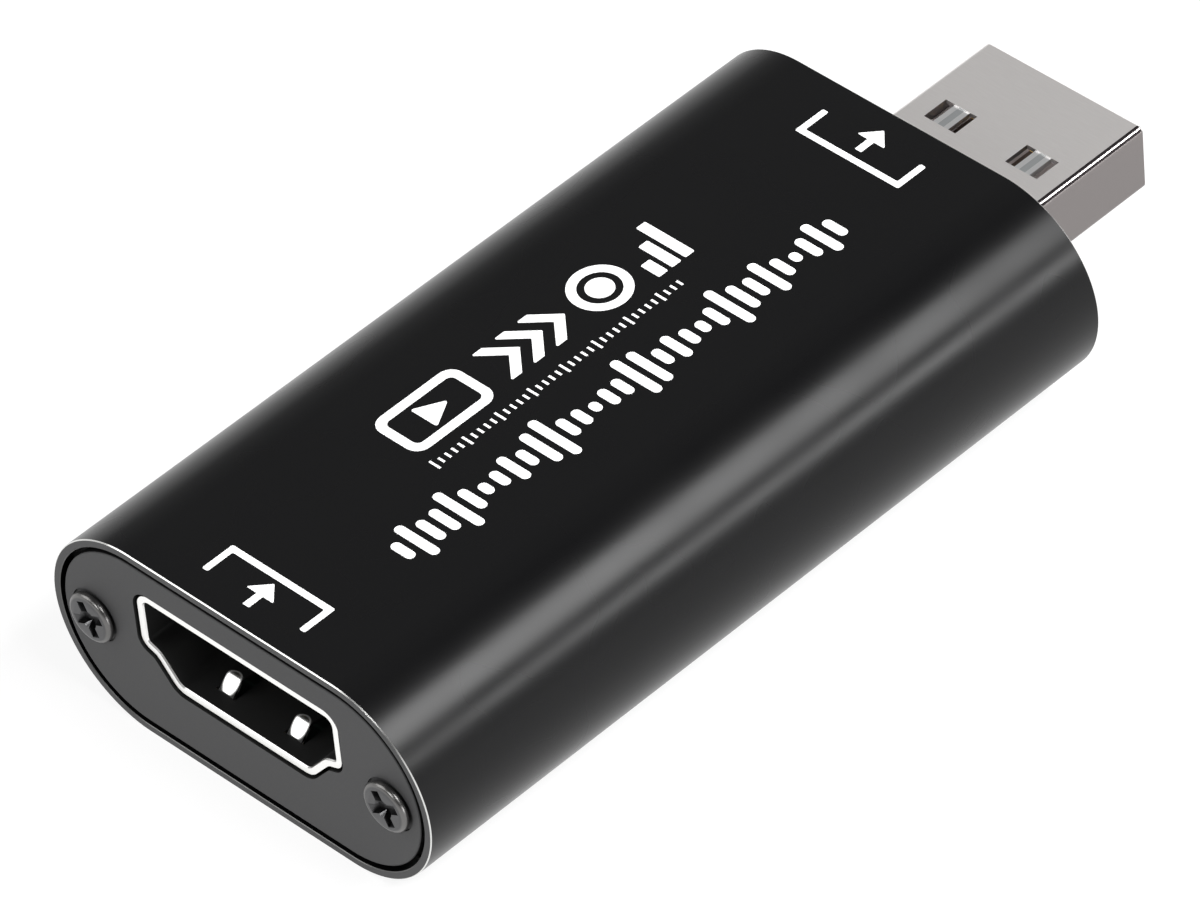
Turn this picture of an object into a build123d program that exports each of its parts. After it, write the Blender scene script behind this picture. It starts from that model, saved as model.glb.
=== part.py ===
from build123d import *
from math import sqrt
import os

os.makedirs("parts", exist_ok=True)

# Video capture box: an obround aluminium tube with a recessed plate in each end.
# A video socket looks out of one end and a computer plug stands out of the other.
# Lengths are in millimetres. X runs across the box, Y from the socket's mouth to the
# plug's tip, and Z up. The origin is under the middle of the whole object, on the
# surface that it lies on.

# Housing tube
body_width = 28.8
body_height = 13.2
body_length = 52.4
wall = 1.0
rim_lip = 0.65
rim_chamfer = 0.15
port_inset = 3.1
port_radius = 1.7
port_mouth = 1.0
rib_thickness = 0.9
rib_overlap = 1.1

# End plates, each in a rebate of the tube
plate_thickness = 1.2
plate_recess = 0.05
plate_gap = 0.17
plate_chamfer = 0.05
cut_out_gap = 0.2
screw_hole_gap = 0.15
head_gap = 0.1
head_sink = 0.15

# Plate screws
head_diameter = 3.2
head_height = 0.65
head_bevel = 0.08
core_diameter = 1.7
core_gap = 0.02
screw_length = 5.0
recess_span = 2.3
recess_wing = 0.6
recess_depth = 0.45
input_screw_turns = (25, -35)
output_screw_turns = (60, 10)

# Circuit board
board_thickness = 1.6
board_corner = 0.8
slot_gap = 0.15
board_side_gap = 0.3
board_end_gap = 0.3
leg_hole_gap = 0.15
leg_proud = 0.6

# Input socket, a D-shaped mouth in a stamped shell that stands on the board
mouth_width = 14.4
mouth_height = 4.95
mouth_corner = 0.5
side_height = 3.0
shoulder_corner = 0.3
waist_inset = 0.9
waist_drop = 0.3
waist_radius = 1.2
floor_width = 9.8
floor_corner = 0.7
socket_recess = 0.13
socket_depth = 11.1
socket_sheet = 0.35
lip_flare = 0.06
lip_edge = 0.39
lip_depth = 0.12
socket_leg_width = 1.1
socket_leg_pitch = 5.6
socket_leg_setback = 2.8
spring_width = 1.1
spring_side_gap = 0.2
spring_pitch = 5.25
spring_root = 1.1
spring_rise = 0.9
spring_tail = 2.6
spring_bend = 0.35
spring_sheet = 0.2

# Input socket's moulding and contacts
fit_gap = 0.03
tongue_setback = 1.9
tongue_width = 11.3
tongue_thickness = 1.2
tongue_drop = 2.4
tongue_edge = 0.25
mouth_cavity_depth = 8.4
contact_pitch = 1.0
upper_contact_count = 10
lower_contact_count = 9
contact_width = 0.32
contact_sheet = 0.2
contact_proud = 0.03
contact_setback = 0.5
contact_exit = 0.3
contact_tail = 0.9

# Output plug, a folded shell sunk in a notch of the board
plug_width = 12.0
plug_height = 4.5
plug_reach = 13.2
plug_inner_length = 5.55
plug_sheet = 0.3
plug_bend = 0.45
plug_tip_chamfer = 0.15
plug_seam = 0.08
plug_sink = 2.23
plug_notch_gap = 0.15
plug_cavity_depth = 11.75
window_pitch = 6.2
window_width = 2.4
window_length = 1.85
window_setback = 5.3
strip_width = 1.15
strip_drop = 0.1
wing_width = 1.8
wing_setback = 1.9
wing_reach = 1.25
wing_bend = 0.25

# Output plug's moulding and contacts
plug_tongue_thickness = 1.85
plug_tongue_setback = 0.5
plug_tongue_edge = 0.4
plug_contact_sheet = 0.3
plug_contact_width = 1.0
plug_contact_proud = 0.05
power_contact_pitch = 7.0
data_contact_pitch = 2.0
power_contact_setback = 1.5
data_contact_setback = 2.5
plug_contact_exit = 0.35
plug_contact_run = 0.45
plug_contact_bend = 0.2
plug_contact_tail = 1.5

# Chips, crystal and regulators
capture_side = 7.0
capture_height = 0.85
capture_pads = 10
capture_pitch = 0.5
pad_width = 0.25
pad_length = 0.45
pad_height = 0.2
pad_proud = 0.02
dimple_diameter = 0.6
dimple_depth = 0.08
dimple_inset = 0.9
surge_length = 2.5
surge_width = 1.0
surge_height = 0.5
surge_pads = 4
crystal_length = 3.2
crystal_width = 2.5
crystal_base = 0.5
crystal_lid = 0.3
crystal_margin = 0.15
crystal_corner = 0.35
memory_length = 4.9
memory_width = 3.9
memory_height = 1.45
memory_span = 6.0
memory_leads = 4
memory_pitch = 1.27
memory_lead_width = 0.42
regulator_length = 2.9
regulator_width = 1.6
regulator_height = 1.1
regulator_span = 2.8
regulator_pitch = 0.95
regulator_lead_width = 0.4
lead_sheet = 0.15
lead_foot = 0.45
body_standoff = 0.1
mould_draft = 7

# Capacitors, resistors and the supply's filter bead
small_chip_length = 1.0
small_chip_width = 0.5
small_chip_height = 0.5
small_chip_cap = 0.25
resistor_height = 0.35
large_chip_length = 3.2
large_chip_width = 1.6
large_chip_height = 1.6
bead_height = 1.1
large_chip_cap = 0.5
cap_proud = 0.03
decoupling_gap = 0.6
decoupling_pitch = 1.9
decoupling_rows = 4

# Places along and across the free part of the board, as shares of it
capture_place_shares = (0, 0.37)
memory_place_shares = (0.55, 0.68)
crystal_place_shares = (-0.05, 0.66)
core_regulator_place_shares = (-0.5, 0.60)
io_regulator_place_shares = (-0.5, 0.75)
bead_place_shares = (0.74, 0.88)
bulk_place_shares = ((-0.7, 0.88), (-0.22, 0.88), (0.26, 0.88))
surge_place_shares = ((-0.5, 0.06), (0, 0.06), (0.5, 0.06))
pull_up_across_shares = (-0.75, -0.45, -0.15, 0.15, 0.45, 0.75)
pull_up_along_share = 0.13
series_place_shares = ((-0.1, 0.95), (0.1, 0.95))

# Heights and places that follow from the sizes above
mid_height = body_height / 2
head_proud = head_height - head_sink - plate_recess
overall_length = head_proud + body_length + plug_reach
front_rim = head_proud - overall_length / 2
rear_rim = front_rim + body_length
plug_tip = rear_rim + plug_reach
front_face = front_rim + plate_recess
rear_face = rear_rim - plate_recess
front_seat = front_face + plate_thickness
rear_seat = rear_face - plate_thickness
port_place = body_width / 2 - port_inset
cavity_radius = mid_height - wall

board_top = mid_height - port_radius - slot_gap
board_bottom = board_top - board_thickness
board_front = front_seat + board_end_gap
board_rear = rear_seat - board_end_gap
leg_bottom = board_bottom - leg_proud


def cavity_reach(height):
    """Distance from the middle plane to the tube's rounded inner side at a height."""
    flat = body_width / 2 - mid_height
    return flat + sqrt(cavity_radius**2 - (height - mid_height) ** 2)


def across(place):
    """The plane square to the tube at a place along Y, with X to the right and Z up."""
    return Plane.XZ.offset(-place)


board_half_width = cavity_reach(board_bottom) - board_side_gap

mouth_plane = front_face + socket_recess
socket_rear = mouth_plane + socket_depth
mouth_floor = board_top + socket_sheet
mouth_middle = mouth_floor + mouth_height / 2
mouth_roof = mouth_floor + mouth_height
shoulder_height = mouth_roof - side_height
socket_leg_middle = mouth_plane + socket_leg_setback + socket_leg_pitch / 2
tongue_front = mouth_plane + tongue_setback
tongue_middle = mouth_roof - tongue_drop
contact_column = socket_rear + contact_exit
contact_foot = board_top + contact_sheet / 2
contact_end = contact_column + contact_tail

plug_length = plug_reach + plug_inner_length
plug_rear = plug_tip - plug_length
plug_base = board_top - plug_sink
plug_middle = plug_base + plug_height / 2
plug_top = plug_base + plug_height
wing_place = plug_rear + wing_setback
wing_column = plug_width / 2 + wing_reach
plug_tongue_top = plug_base + plug_sheet + fit_gap + plug_tongue_thickness
plug_contact_height = plug_tongue_top + plug_contact_proud - plug_contact_sheet / 2
plug_foot = board_top + plug_contact_sheet / 2
plug_step = plug_rear - plug_contact_exit - plug_contact_run
plug_contact_end = plug_step - plug_contact_tail
notch_front = plug_step - plug_notch_gap

free_half_width = port_place - port_radius
free_front = contact_end
free_length = plug_contact_end - contact_end


def spot(shares, turn=0):
    """A place on the board's top, from its shares across and along the free area."""
    place = (shares[0] * free_half_width, free_front + shares[1] * free_length, board_top)
    return Location(place, (0, 0, turn))


# Housing tube: aluminium extrusion, cut to length, with both ends milled back to
# form a rebate for the end plates. Its inside has a C-shaped port for the screws
# along each side, and a rib under each port that makes a slot for the board's edge.
with BuildPart() as housing_tube:
    with BuildSketch(across(rear_rim)):
        with Locations((0, mid_height)):
            SlotOverall(body_width, body_height)
            SlotOverall(body_width - 2 * wall, body_height - 2 * wall, mode=Mode.SUBTRACT)
    extrude(amount=body_length)

    rib_top = board_bottom - slot_gap
    rib_inner = board_half_width - rib_overlap
    with BuildSketch(across(rear_rim)):
        with Locations((-port_place, mid_height), (port_place, mid_height)):
            Circle(port_radius)
        with Locations((port_place, mid_height)):
            Rectangle(port_inset, 2 * port_radius, align=(Align.MIN, Align.CENTER))
        with Locations((rib_inner, rib_top)):
            Rectangle(body_width / 2 - rib_inner, rib_thickness, align=(Align.MIN, Align.MAX))
        mirror(about=Plane.YZ)
        with Locations((0, mid_height)):
            SlotOverall(body_width - wall, body_height - wall, mode=Mode.INTERSECT)
    extrude(amount=body_length)

    with BuildSketch(across(rear_rim)):
        with Locations((port_place, mid_height)):
            Circle(core_diameter / 2 + core_gap)
            Rectangle(port_radius, port_mouth, align=(Align.MAX, Align.CENTER))
        mirror(about=Plane.YZ)
    extrude(amount=body_length, mode=Mode.SUBTRACT)

    rebate_depth = plate_recess + plate_thickness
    for end, cut in ((front_rim, -rebate_depth), (rear_rim, rebate_depth)):
        with BuildSketch(across(end)):
            with Locations((0, mid_height)):
                SlotOverall(body_width - 2 * rim_lip, body_height - 2 * rim_lip)
        extrude(amount=cut, mode=Mode.SUBTRACT)

    rims = housing_tube.faces().filter_by(Axis.Y).group_by(Axis.Y)
    rim_edges = [rim[0].outer_wire().edges() for rim in (rims[0], rims[-1])]
    chamfer(rim_edges[0] + rim_edges[1], rim_chamfer)

housing_tube.part.label = "housing_tube"
export_step(housing_tube.part, "parts/housing_tube.step")


def mouth_outline(grow):
    """The socket's D-shaped outline about its middle, grown all round by a distance."""
    top = mouth_height / 2
    half = mouth_width / 2
    waist = (half - waist_inset, top - side_height - waist_drop)
    side = [(half, top), (half, top - side_height), waist, (floor_width / 2, -top)]
    other_side = [(-x, z) for x, z in reversed(side)]
    radii = [mouth_corner, shoulder_corner, waist_radius, floor_corner]
    with BuildSketch() as outline:
        with BuildLine():
            FilletPolyline(side + other_side, radius=radii + radii[::-1], close=True)
        make_face()
        if grow:
            offset(amount=grow)
    return outline.sketch


def end_plate(outer_face, opening, middle):
    """An end plate with its outer face on a plane, and an opening about a middle height."""
    plate_width = body_width - 2 * (rim_lip + plate_gap)
    plate_height = body_height - 2 * (rim_lip + plate_gap)
    with BuildPart() as plate:
        with BuildSketch(outer_face):
            SlotOverall(plate_width, plate_height)
            add(opening.moved(Location((0, middle - mid_height))), mode=Mode.SUBTRACT)
        extrude(amount=-plate_thickness)
        face = plate.faces().sort_by(Axis(outer_face.origin, outer_face.z_dir))[-1]
        chamfer(face.outer_wire().edges(), plate_chamfer)
        with Locations(outer_face):
            with GridLocations(2 * port_place, 0, 2, 1):
                CounterBoreHole(
                    radius=core_diameter / 2 + screw_hole_gap,
                    counter_bore_radius=head_diameter / 2 + head_gap,
                    counter_bore_depth=head_sink,
                )
    return plate.part


input_face = Plane(origin=(0, front_face, mid_height), x_dir=(1, 0, 0), z_dir=(0, -1, 0))
output_face = Plane(origin=(0, rear_face, mid_height), x_dir=(-1, 0, 0), z_dir=(0, 1, 0))

# Input end plate: black aluminium, its cut-out follows the socket's flared lip.
input_opening = mouth_outline(lip_flare + lip_edge + cut_out_gap)
input_end_plate = end_plate(input_face, input_opening, mouth_middle)
input_end_plate.label = "input_end_plate"
export_step(input_end_plate, "parts/input_end_plate.step")

# Output end plate: the same blank, with a rounded rectangle round the plug.
with BuildSketch() as output_opening:
    RectangleRounded(
        plug_width + 2 * cut_out_gap, plug_height + 2 * cut_out_gap, plug_bend + cut_out_gap
    )
output_end_plate = end_plate(output_face, output_opening.sketch, plug_middle)
output_end_plate.label = "output_end_plate"
export_step(output_end_plate, "parts/output_end_plate.step")

# One plate screw about its own axis, with the underside of its head at zero. Its
# shank has the diameter of its thread's core.
with BuildPart() as plate_screw:
    with BuildSketch():
        Circle(head_diameter / 2)
    extrude(amount=head_height)
    chamfer(plate_screw.edges().group_by(Axis.Z)[-1], head_bevel)
    with BuildSketch():
        Circle(core_diameter / 2)
    extrude(amount=-screw_length)
    with BuildSketch(Plane.XY.offset(head_height)):
        Rectangle(recess_span, recess_wing)
        Rectangle(recess_wing, recess_span)
    extrude(amount=-recess_depth, mode=Mode.SUBTRACT)


def plate_screws(outer_face, turns):
    """Two screws in the counterbores of the plate whose outer face lies on a plane."""
    with BuildPart() as screws:
        with Locations(outer_face.offset(-head_sink)):
            with Locations(
                Location((-port_place, 0, 0), (0, 0, turns[0])),
                Location((port_place, 0, 0), (0, 0, turns[1])),
            ):
                add(plate_screw.part)
    return screws.part


# Input plate screws: zinc-plated steel, blackened, driven into the tube's ports.
input_plate_screws = plate_screws(input_face, input_screw_turns)
input_plate_screws.label = "input_plate_screws"
export_step(input_plate_screws, "parts/input_plate_screws.step")

# Output plate screws
output_plate_screws = plate_screws(output_face, output_screw_turns)
output_plate_screws.label = "output_plate_screws"
export_step(output_plate_screws, "parts/output_plate_screws.step")

# Circuit board: slides in the tube's slots. Its rear end is notched for the plug,
# and slots through it take the legs of the socket's and the plug's shells.
with BuildPart() as circuit_board:
    with BuildSketch(Plane.XY.offset(board_bottom)) as board_outline:
        with Locations((0, board_front)):
            Rectangle(
                2 * board_half_width, board_rear - board_front, align=(Align.CENTER, Align.MIN)
            )
        fillet(board_outline.vertices(), board_corner)
        with Locations((0, notch_front)):
            Rectangle(
                plug_width + 2 * plug_notch_gap,
                board_rear - notch_front,
                align=(Align.CENTER, Align.MIN),
                mode=Mode.SUBTRACT,
            )
        with Locations((0, socket_leg_middle)):
            with GridLocations(mouth_width + socket_sheet, socket_leg_pitch, 2, 2):
                Rectangle(
                    socket_sheet + 2 * leg_hole_gap,
                    socket_leg_width + 2 * leg_hole_gap,
                    mode=Mode.SUBTRACT,
                )
        with Locations((-wing_column, wing_place), (wing_column, wing_place)):
            Rectangle(
                plug_sheet + 2 * leg_hole_gap, wing_width + 2 * leg_hole_gap, mode=Mode.SUBTRACT
            )
    extrude(amount=board_thickness)

circuit_board.part.label = "circuit_board"
export_step(circuit_board.part, "parts/circuit_board.step")


def bent_strip(plane, path, sheet, width, bend=0):
    """A strip of sheet bent along a path of points drawn on a plane, centred on it."""
    with BuildPart() as strip:
        with BuildSketch(plane):
            with BuildLine():
                FilletPolyline(path, radius=bend)
            trace(line_width=sheet)
        extrude(amount=width / 2, both=True)
    return strip.part


# Socket shell: stamped steel sheet, bent into a D-shaped sleeve with a flared lip.
# Two sprung tabs are cut from its roof and two from its floor, and bent inwards to
# grip the plug. Four legs go down through the board.
lip_back = mouth_plane + lip_depth
spring_crest = mouth_plane + spring_root + spring_rise
spring_end = spring_crest + spring_tail


def spring_tab(wall_height, inwards):
    """A sprung tab that rises from the middle of a wall's sheet into the mouth."""
    root = mouth_plane + spring_root
    path = [
        (root - spring_bend, wall_height),
        (root, wall_height),
        (spring_crest, wall_height + inwards * spring_rise),
        (spring_end, wall_height + inwards * socket_sheet),
    ]
    return bent_strip(Plane.YZ, path, spring_sheet, spring_width, spring_bend)


with BuildPart() as socket_shell:
    outer = (socket_sheet, lip_flare + lip_edge, Mode.ADD)
    inner = (0, lip_flare, Mode.SUBTRACT)
    for grow, lip_grow, mode in (outer, inner):
        with BuildSketch(across(lip_back)):
            with Locations((0, mouth_middle)):
                add(mouth_outline(grow))
        extrude(amount=lip_back - socket_rear, mode=mode)
        with BuildSketch(across(lip_back)):
            with Locations((0, mouth_middle)):
                add(mouth_outline(grow))
        with BuildSketch(across(mouth_plane)):
            with Locations((0, mouth_middle)):
                add(mouth_outline(lip_grow))
        loft(ruled=True, mode=mode)

    slot_length = spring_end - mouth_plane - spring_root + spring_side_gap
    with BuildSketch(Plane.XY.offset(board_top)):
        with Locations((0, mouth_plane + spring_root)):
            with GridLocations(spring_pitch, 0, 2, 1):
                Rectangle(
                    spring_width + 2 * spring_side_gap,
                    slot_length,
                    align=(Align.CENTER, Align.MIN),
                )
    extrude(amount=mouth_height + 2 * socket_sheet, mode=Mode.SUBTRACT)
    with GridLocations(spring_pitch, 0, 2, 1):
        add(spring_tab(mouth_floor - socket_sheet / 2, 1))
        add(spring_tab(mouth_roof + socket_sheet / 2, -1))

    with BuildSketch(Plane.XY.offset(shoulder_height + shoulder_corner)):
        with Locations((0, socket_leg_middle)):
            with GridLocations(mouth_width + socket_sheet, socket_leg_pitch, 2, 2):
                Rectangle(socket_sheet, socket_leg_width)
    extrude(amount=leg_bottom - shoulder_height - shoulder_corner)

socket_shell.part.label = "socket_shell"
export_step(socket_shell.part, "parts/socket_shell.step")


def socket_contact(height):
    """One contact: along a face of the tongue, out of the moulding's back, and down."""
    path = [
        (tongue_front + contact_setback, height),
        (contact_column, height),
        (contact_column, contact_foot),
        (contact_end, contact_foot),
    ]
    return bent_strip(Plane.YZ, path, contact_sheet, contact_width)


# Socket upper contacts: ten gold-plated strips on the tongue's upper face.
with BuildPart() as socket_upper_contacts:
    upper_face = tongue_middle + tongue_thickness / 2
    with GridLocations(contact_pitch, 0, upper_contact_count, 1):
        add(socket_contact(upper_face + contact_proud - contact_sheet / 2))

socket_upper_contacts.part.label = "socket_upper_contacts"
export_step(socket_upper_contacts.part, "parts/socket_upper_contacts.step")

# Socket lower contacts: nine strips on the lower face, half a pitch aside.
with BuildPart() as socket_lower_contacts:
    lower_face = tongue_middle - tongue_thickness / 2
    with GridLocations(contact_pitch, 0, lower_contact_count, 1):
        add(socket_contact(lower_face - contact_proud + contact_sheet / 2))

socket_lower_contacts.part.label = "socket_lower_contacts"
export_step(socket_lower_contacts.part, "parts/socket_lower_contacts.step")

# Socket insulator: one black moulding round the contacts. A block fills the shell's
# rear, and a thin tongue reaches forward from it into the mouth.
with BuildPart() as socket_insulator:
    with BuildSketch(across(socket_rear)):
        with Locations((0, mouth_middle)):
            add(mouth_outline(-fit_gap))
    extrude(amount=socket_depth - mouth_cavity_depth)
    with BuildSketch(across(socket_rear)):
        with Locations((0, tongue_middle)):
            Rectangle(tongue_width, tongue_thickness)
    extrude(amount=socket_rear - tongue_front)
    chamfer(socket_insulator.faces().sort_by(Axis.Y)[0].edges(), tongue_edge)
    add(socket_upper_contacts.part, mode=Mode.SUBTRACT)
    add(socket_lower_contacts.part, mode=Mode.SUBTRACT)

socket_insulator.part.label = "socket_insulator"
export_step(socket_insulator.part, "parts/socket_insulator.step")

# Plug shell: steel sheet folded into a rectangular sleeve, with its seam along the
# middle of its underside. Two windows go through its top and two through its
# underside, and each upper one is bridged by a strip pressed in below the surface.
# A wing on each side rests on the board and ends in a leg through it.
window_middle = plug_tip - window_setback - window_length / 2
with BuildPart() as plug_shell:
    with BuildSketch(across(plug_tip)):
        with Locations((0, plug_middle)):
            RectangleRounded(plug_width, plug_height, plug_bend)
    extrude(amount=plug_length)
    chamfer(plug_shell.faces().sort_by(Axis.Y)[-1].edges(), plug_tip_chamfer)
    with BuildSketch(across(plug_tip)):
        with Locations((0, plug_middle)):
            RectangleRounded(
                plug_width - 2 * plug_sheet, plug_height - 2 * plug_sheet, plug_bend - plug_sheet
            )
    extrude(amount=plug_length, mode=Mode.SUBTRACT)

    with BuildSketch(Plane.XY.offset(plug_base)):
        with Locations((0, window_middle)):
            with GridLocations(window_pitch, 0, 2, 1):
                Rectangle(window_width, window_length)
    extrude(amount=plug_height, mode=Mode.SUBTRACT)
    with BuildSketch(Plane.XY.offset(plug_top - strip_drop)):
        with Locations((0, window_middle)):
            with GridLocations(window_pitch, 0, 2, 1):
                Rectangle(strip_width, window_length)
    extrude(amount=-plug_sheet)
    with BuildSketch(Plane.XY.offset(plug_base)):
        with Locations((0, plug_tip)):
            Rectangle(plug_seam, plug_length, align=(Align.CENTER, Align.MAX))
    extrude(amount=plug_height / 2, mode=Mode.SUBTRACT)

    wing_height = board_top + plug_sheet / 2
    wing_path = [
        (plug_width / 2 - plug_sheet / 2, wing_height),
        (wing_column, wing_height),
        (wing_column, leg_bottom),
    ]
    wing = bent_strip(across(wing_place), wing_path, plug_sheet, wing_width, wing_bend)
    add(wing)
    add(wing.mirror(Plane.YZ))

plug_shell.part.label = "plug_shell"
export_step(plug_shell.part, "parts/plug_shell.step")


def plug_contact(setback):
    """One contact: along the tongue's top, out of the block, and up onto the board."""
    path = [
        (plug_tip - setback, plug_contact_height),
        (plug_rear - plug_contact_exit, plug_contact_height),
        (plug_step, plug_foot),
        (plug_contact_end, plug_foot),
    ]
    return bent_strip(
        Plane.YZ, path, plug_contact_sheet, plug_contact_width, plug_contact_bend
    )


# Plug power contacts: the two long outer strips, which meet first.
with BuildPart() as plug_power_contacts:
    with GridLocations(power_contact_pitch, 0, 2, 1):
        add(plug_contact(power_contact_setback))

plug_power_contacts.part.label = "plug_power_contacts"
export_step(plug_power_contacts.part, "parts/plug_power_contacts.step")

# Plug data contacts: the two shorter inner strips.
with BuildPart() as plug_data_contacts:
    with GridLocations(data_contact_pitch, 0, 2, 1):
        add(plug_contact(data_contact_setback))

plug_data_contacts.part.label = "plug_data_contacts"
export_step(plug_data_contacts.part, "parts/plug_data_contacts.step")

# Plug insulator: a block in the shell's rear, and a tongue along the shell's floor
# that carries the contacts on its top.
with BuildPart() as plug_insulator:
    block_width = plug_width - 2 * (plug_sheet + fit_gap)
    block_height = plug_height - 2 * (plug_sheet + fit_gap)
    with BuildSketch(across(plug_tip - plug_cavity_depth)):
        with Locations((0, plug_middle)):
            RectangleRounded(block_width, block_height, plug_bend - plug_sheet)
    extrude(amount=plug_length - plug_cavity_depth)
    with BuildSketch(across(plug_tip - plug_tongue_setback)) as tongue_section:
        with Locations((0, plug_tongue_top)):
            Rectangle(block_width, plug_tongue_thickness, align=(Align.CENTER, Align.MAX))
        fillet(tongue_section.vertices().group_by(Axis.Y)[0], plug_bend - plug_sheet)
    extrude(amount=plug_cavity_depth)
    tongue_end = plug_insulator.faces().sort_by(Axis.Y)[-1]
    chamfer(tongue_end.edges().sort_by(Axis.Z)[-1], plug_tongue_edge)
    add(plug_power_contacts.part, mode=Mode.SUBTRACT)
    add(plug_data_contacts.part, mode=Mode.SUBTRACT)

plug_insulator.part.label = "plug_insulator"
export_step(plug_insulator.part, "parts/plug_insulator.step")


def leadless_chip(length, width, height, pads_along, pads_across, pitch, dimple):
    """A flat moulded chip on its pads, which run along its sides and show at its foot."""
    with BuildPart() as chip:
        with BuildSketch(Plane.XY.offset(pad_proud)):
            Rectangle(length, width)
        extrude(amount=height - pad_proud)
        if dimple:
            corner = (dimple_inset - length / 2, width / 2 - dimple_inset, height)
            with Locations(corner):
                Hole(radius=dimple_diameter / 2, depth=dimple_depth)
        with BuildSketch():
            with GridLocations(pitch, width - pad_length + 2 * pad_proud, pads_along, 2):
                Rectangle(pad_width, pad_length)
            if pads_across:
                with GridLocations(length - pad_length + 2 * pad_proud, pitch, 2, pads_across):
                    Rectangle(pad_length, pad_width)
        extrude(amount=pad_height)
    return chip.part


def placed(piece, spots):
    """Copies of a piece set down on the board at each of its spots."""
    with BuildPart() as group:
        with Locations(*spots):
            add(piece)
    return group.part


# Capture chip: a square leadless package, ten pads a side.
capture_chip = placed(
    leadless_chip(
        capture_side,
        capture_side,
        capture_height,
        capture_pads,
        capture_pads,
        capture_pitch,
        dimple=True,
    ),
    [spot(capture_place_shares)],
)
capture_chip.label = "capture_chip"
export_step(capture_chip, "parts/capture_chip.step")

# Surge protection arrays: one leadless package for each group of video lines.
surge_arrays = placed(
    leadless_chip(
        surge_length, surge_width, surge_height, surge_pads, 0, capture_pitch, dimple=False
    ),
    [spot(shares) for shares in surge_place_shares],
)
surge_arrays.label = "surge_arrays"
export_step(surge_arrays, "parts/surge_arrays.step")

# Crystal: a ceramic base with a metal lid seamed on it.
with BuildPart() as crystal_blank:
    with BuildSketch():
        Rectangle(crystal_length, crystal_width)
    extrude(amount=crystal_base)
    with BuildSketch(Plane.XY.offset(crystal_base)):
        RectangleRounded(
            crystal_length - 2 * crystal_margin, crystal_width - 2 * crystal_margin, crystal_corner
        )
    extrude(amount=crystal_lid)

crystal = placed(crystal_blank.part, [spot(crystal_place_shares, 90)])
crystal.label = "crystal"
export_step(crystal, "parts/crystal.step")


def leaded_chip(length, width, height, span, lead_width, upper_leads, lower_leads, dimple):
    """A moulded chip with drafted sides, and gull-wing leads at places along each side."""
    part_line = body_standoff + (height - body_standoff) / 2
    foot = lead_sheet / 2
    with BuildPart() as chip:
        with BuildSketch(Plane.XY.offset(part_line)):
            Rectangle(length, width)
        extrude(amount=height - part_line, taper=mould_draft)
        with BuildSketch(Plane.XY.offset(part_line)):
            Rectangle(length, width)
        extrude(amount=body_standoff - part_line, taper=mould_draft)
        if dimple:
            with Locations((dimple_inset - length / 2, dimple_inset - width / 2, height)):
                Hole(radius=dimple_diameter / 2, depth=dimple_depth)
        path = [
            (width / 2 - lead_foot, part_line),
            (span / 2 - lead_foot, part_line),
            (span / 2 - lead_foot, foot),
            (span / 2, foot),
        ]
        lead = bent_strip(Plane.YZ, path, lead_sheet, lead_width)
        with Locations(*[(place, 0, 0) for place in upper_leads]):
            add(lead)
        with Locations(*[Location((place, 0, 0), (0, 0, 180)) for place in lower_leads]):
            add(lead)
    return chip.part


# Memory chip: eight gull-wing leads, standing crosswise.
lead_row = [(place - (memory_leads - 1) / 2) * memory_pitch for place in range(memory_leads)]
memory_chip = placed(
    leaded_chip(
        memory_length,
        memory_width,
        memory_height,
        memory_span,
        memory_lead_width,
        lead_row,
        lead_row,
        dimple=True,
    ),
    [spot(memory_place_shares, 90)],
)
memory_chip.label = "memory_chip"
export_step(memory_chip, "parts/memory_chip.step")

# Supply regulators for the chip's core and for its inputs and outputs: five leads,
# three on one side and two on the other.
regulator = leaded_chip(
    regulator_length,
    regulator_width,
    regulator_height,
    regulator_span,
    regulator_lead_width,
    (-regulator_pitch, regulator_pitch),
    (-regulator_pitch, 0, regulator_pitch),
    dimple=False,
)
core_regulator = placed(regulator, [spot(core_regulator_place_shares)])
core_regulator.label = "core_regulator"
export_step(core_regulator, "parts/core_regulator.step")

io_regulator = placed(regulator, [spot(io_regulator_place_shares)])
io_regulator.label = "io_regulator"
export_step(io_regulator, "parts/io_regulator.step")


def chip_part(length, width, height, cap):
    """A ceramic block with a metal cap on each end, lying along X."""
    with BuildPart() as chip:
        with BuildSketch(Plane.XY.offset(cap_proud)):
            Rectangle(length - cap, width - 2 * cap_proud)
        extrude(amount=height - 2 * cap_proud)
        with BuildSketch():
            with GridLocations(length - cap, 0, 2, 1):
                Rectangle(cap, width)
        extrude(amount=height)
    return chip.part


# Filter bead in the supply line from the plug
bead = chip_part(large_chip_length, large_chip_width, bead_height, large_chip_cap)
supply_filter_bead = placed(bead, [spot(bead_place_shares)])
supply_filter_bead.label = "supply_filter_bead"
export_step(supply_filter_bead, "parts/supply_filter_bead.step")

# Bulk capacitors across the supply
bulk = chip_part(large_chip_length, large_chip_width, large_chip_height, large_chip_cap)
bulk_capacitors = placed(bulk, [spot(shares) for shares in bulk_place_shares])
bulk_capacitors.label = "bulk_capacitors"
export_step(bulk_capacitors, "parts/bulk_capacitors.step")

# Decoupling capacitors along both sides of the capture chip
small_capacitor = chip_part(
    small_chip_length, small_chip_width, small_chip_height, small_chip_cap
)
chip_middle = spot(capture_place_shares).position
column = capture_side / 2 + decoupling_gap + small_chip_width / 2
row_places = [(row - (decoupling_rows - 1) / 2) * decoupling_pitch for row in range(decoupling_rows)]
decoupling_spots = [
    Location(chip_middle + Vector(side * column, row_place), (0, 0, 90))
    for side in (-1, 1)
    for row_place in row_places
]
decoupling_capacitors = placed(small_capacitor, decoupling_spots)
decoupling_capacitors.label = "decoupling_capacitors"
export_step(decoupling_capacitors, "parts/decoupling_capacitors.step")

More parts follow.
